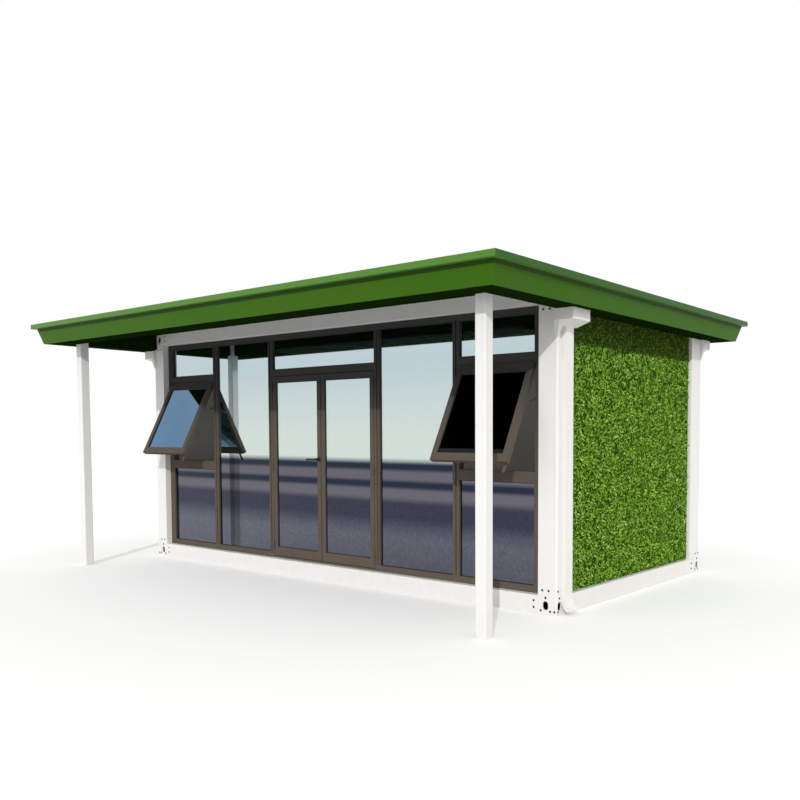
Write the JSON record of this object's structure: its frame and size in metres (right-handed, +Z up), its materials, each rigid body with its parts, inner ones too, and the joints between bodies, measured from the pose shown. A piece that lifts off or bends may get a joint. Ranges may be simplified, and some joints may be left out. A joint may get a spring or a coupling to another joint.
{
  "type": "flat pack container house",
  "caption": "Flat pack container house with a glazed front, awning windows, a double door, a porch canopy on posts and grass clad walls.",
  "frame": {"origin": "on the ground, under the middle of the roof's plan", "axes": "+Z up, -Y out of the glazed front, +X to the right seen from the front"},
  "size_m": [6.765, 4.815, 2.83],
  "materials": {
    "frame_white": "satin",
    "wall_panel": "satin",
    "galvanised": "dull",
    "floor_board": "matte",
    "artificial_grass": "matte, blades",
    "roof_green": "satin",
    "edge_green": "satin",
    "fascia_green": "satin",
    "soffit_green": "satin",
    "window_aluminium": "anodised, satin",
    "window_glass": "reflective",
    "handle_metal": "satin, dark"
  },
  "bodies": {
    "house": {"front_floor_beam": "frame_white", "back_floor_beam": "frame_white", "end_floor_beams": "frame_white", "corner_castings": "frame_white", "front_left_post": "frame_white", "front_right_post": "frame_white", "back_left_post": "frame_white", "back_right_post": "frame_white", "front_roof_beam": "frame_white", "back_roof_beam": "frame_white", "end_roof_beams": "frame_white", "floor_joists": "galvanised", "floor_board": "floor_board", "inner_ceiling": "wall_panel", "back_wall": "wall_panel", "left_wall": "wall_panel", "right_wall": "wall_panel", "back_grass": "artificial_grass", "left_grass": "artificial_grass", "right_grass": "artificial_grass", "roof_sheet": "roof_green", "edge_band": "edge_green", "fascia": "fascia_green", "soffit_board": "soffit_green", "eaves_board": "soffit_green", "canopy_beams": "soffit_green", "left_porch_post": "frame_white", "right_porch_post": "frame_white", "leader_heads": "frame_white", "downpipes": "frame_white", "left_window_frame": "window_aluminium", "right_window_frame": "window_aluminium", "door_frame": "window_aluminium", "fixed_glass": "window_glass", "left_window_sash": "window_aluminium", "right_window_sash": "window_aluminium", "sash_glass": "window_glass", "window_fittings": "handle_metal", "door_hinges": "window_aluminium"},
    "left_door": {"left_door_leaf": "window_aluminium", "left_door_glass": "window_glass", "lever_roses": "handle_metal"},
    "right_door": {"right_door_leaf": "window_aluminium", "right_door_glass": "window_glass"},
    "lever": {"door_lever": "handle_metal"}
  },
  "joints": [
    {"name": "left_door_hinge", "type": "hinge", "parent": "house", "child": "left_door", "pos_m": [-0.7925, -0.9905, 1.2], "axis": [0, 0, -1], "range_deg": [0, 90]},
    {"name": "right_door_hinge", "type": "hinge", "parent": "house", "child": "right_door", "pos_m": [0.7925, -0.9905, 1.2], "axis": [0, 0, 1], "range_deg": [0, 90]},
    {"name": "lever_turn", "type": "hinge", "parent": "left_door", "child": "lever", "pos_m": [-0.0325, -0.9805, 1.285], "axis": [0, -1, 0], "range_deg": [0, 45], "stiffness_Nm_per_rad": 1.5, "springref_deg": -22.92}
  ]
}
